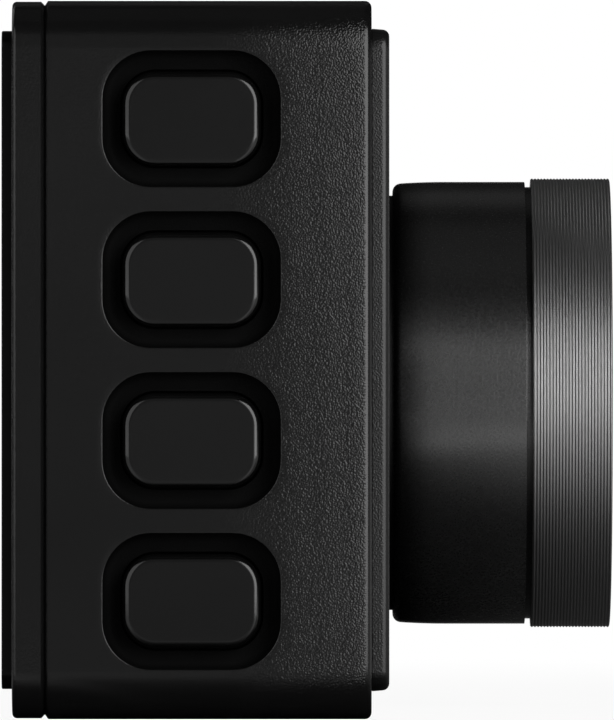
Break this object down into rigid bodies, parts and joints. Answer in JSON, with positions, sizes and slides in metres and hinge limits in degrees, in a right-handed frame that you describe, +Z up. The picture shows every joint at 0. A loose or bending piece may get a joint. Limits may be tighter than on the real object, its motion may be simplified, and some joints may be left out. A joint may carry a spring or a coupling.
{
  "type": "dash camera",
  "caption": "Compact windscreen camera: box casing with a rear display, side keys, a finely ribbed lens barrel, a magnetic ball socket and a removable memory card.",
  "frame": {"origin": "on the underside of the casing, at the middle of its width and of the depth of its frame and shell", "axes": "+Z up, +Y forward along the optical axis (the display faces -Y), +X towards the side with the keys"},
  "size_m": [0.0562, 0.0348, 0.0405],
  "materials": {
    "casing_plastic": "fine-grained black moulding",
    "plate_plastic": "satin black moulding",
    "key_plastic": "smooth black moulding",
    "barrel_metal": "satin black coating on aluminium",
    "ring_metal": "finely turned graphite anodising",
    "trim_plastic": "dull black",
    "lens_glass": "coated optical glass",
    "cover_glass": "black-backed cover glass",
    "panel_glass": "display panel",
    "white_plastic": "white moulding",
    "tape": "black foam tape",
    "rubber": "soft grey foam",
    "steel": "satin nickel-plated steel",
    "magnet_nickel": "nickel plating",
    "circuit_board": "green solder mask",
    "ribbon": "amber film",
    "chip": "moulded chip package",
    "card_plastic": "black card with plated contacts",
    "cell_foil": "pouch foil",
    "ceramic": "sintered ceramic",
    "brass": "gold-plated lid",
    "light_guide": "clear acrylic"
  },
  "bodies": {
    "camera": {"main_shell": "casing_plastic", "rear_frame": "casing_plastic", "front_plate": "plate_plastic", "display_glass": "cover_glass", "glass_tape": "tape", "lcd_panel": "panel_glass", "backlight": "white_plastic", "display_tray": "steel", "display_flex": "ribbon", "lens_barrel": "barrel_metal", "lens_ring": "ring_metal", "lens_bezel": "trim_plastic", "lens_cell": "trim_plastic", "front_element": "lens_glass", "middle_element": "lens_glass", "rear_element": "lens_glass", "aperture_stop": "trim_plastic", "ir_filter": "lens_glass", "lens_holder": "trim_plastic", "image_sensor": "chip", "sensor_board": "circuit_board", "sensor_flex": "ribbon", "main_board": "circuit_board", "board_connectors": "white_plastic", "processor": "chip", "thermal_pad": "rubber", "shield_can": "steel", "memory_chips": "chip", "usb_socket": "steel", "usb_tongue": "trim_plastic", "card_socket": "steel", "battery": "cell_foil", "speaker": "trim_plastic", "speaker_gasket": "rubber", "microphone": "brass", "microphone_gasket": "rubber", "antenna": "ceramic", "socket_cup": "steel", "mount_magnet": "magnet_nickel", "switch_board": "circuit_board", "switch_bodies": "steel", "switch_flex": "ribbon", "status_led": "white_plastic", "light_pipe": "light_guide", "case_screws": "steel", "board_screws": "steel", "holder_screws": "steel", "sensor_screws": "steel"},
    "key_1": {"key_1": "key_plastic", "switch_plunger_1": "white_plastic"},
    "key_2": {"key_2": "key_plastic", "switch_plunger_2": "white_plastic"},
    "key_3": {"key_3": "key_plastic", "switch_plunger_3": "white_plastic"},
    "key_4": {"key_4": "key_plastic", "switch_plunger_4": "white_plastic"},
    "card": {"memory_card": "card_plastic"}
  },
  "joints": [
    {"name": "key_1_press", "type": "slide", "parent": "camera", "child": "key_1", "axis": [-1, 0, 0], "range_m": [0, 0.0003], "stiffness_N_per_m": 5000},
    {"name": "key_2_press", "type": "slide", "parent": "camera", "child": "key_2", "axis": [-1, 0, 0], "range_m": [0, 0.0003], "stiffness_N_per_m": 5000},
    {"name": "key_3_press", "type": "slide", "parent": "camera", "child": "key_3", "axis": [-1, 0, 0], "range_m": [0, 0.0003], "stiffness_N_per_m": 5000},
    {"name": "key_4_press", "type": "slide", "parent": "camera", "child": "key_4", "axis": [-1, 0, 0], "range_m": [0, 0.0003], "stiffness_N_per_m": 5000},
    {"name": "card_slide", "type": "slide", "parent": "camera", "child": "card", "axis": [-1, 0, 0], "range_m": [0, 0.018]}
  ]
}
